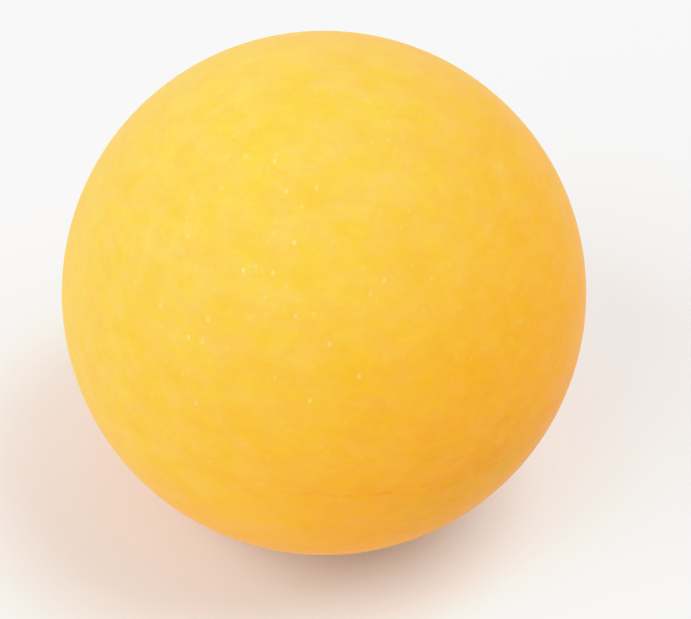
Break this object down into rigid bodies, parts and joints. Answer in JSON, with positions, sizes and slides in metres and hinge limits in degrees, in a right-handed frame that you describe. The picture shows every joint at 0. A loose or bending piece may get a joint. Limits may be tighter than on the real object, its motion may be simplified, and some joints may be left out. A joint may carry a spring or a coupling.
{
  "type": "table tennis ball",
  "caption": "Hollow, sealed table tennis ball: thin half shells cemented edge to edge over a narrow inner joint band, ground round, with a matt orange-yellow surface.",
  "frame": {"origin": "centre of the ball", "axes": "+Z along the seam's axis, so the seam lies in the plane z = 0. The ball is round about it, so +X and +Y are free choices."},
  "size_m": [0.04, 0.04, 0.04],
  "materials": {
    "shell": "matte",
    "seam_band": "satin",
    "cement": "satin"
  },
  "bodies": {
    "root": {"upper_half_shell": "shell", "lower_half_shell": "shell", "inner_seam_band": "seam_band", "band_cement": "cement", "closing_cement": "cement"}
  },
  "joints": []
}
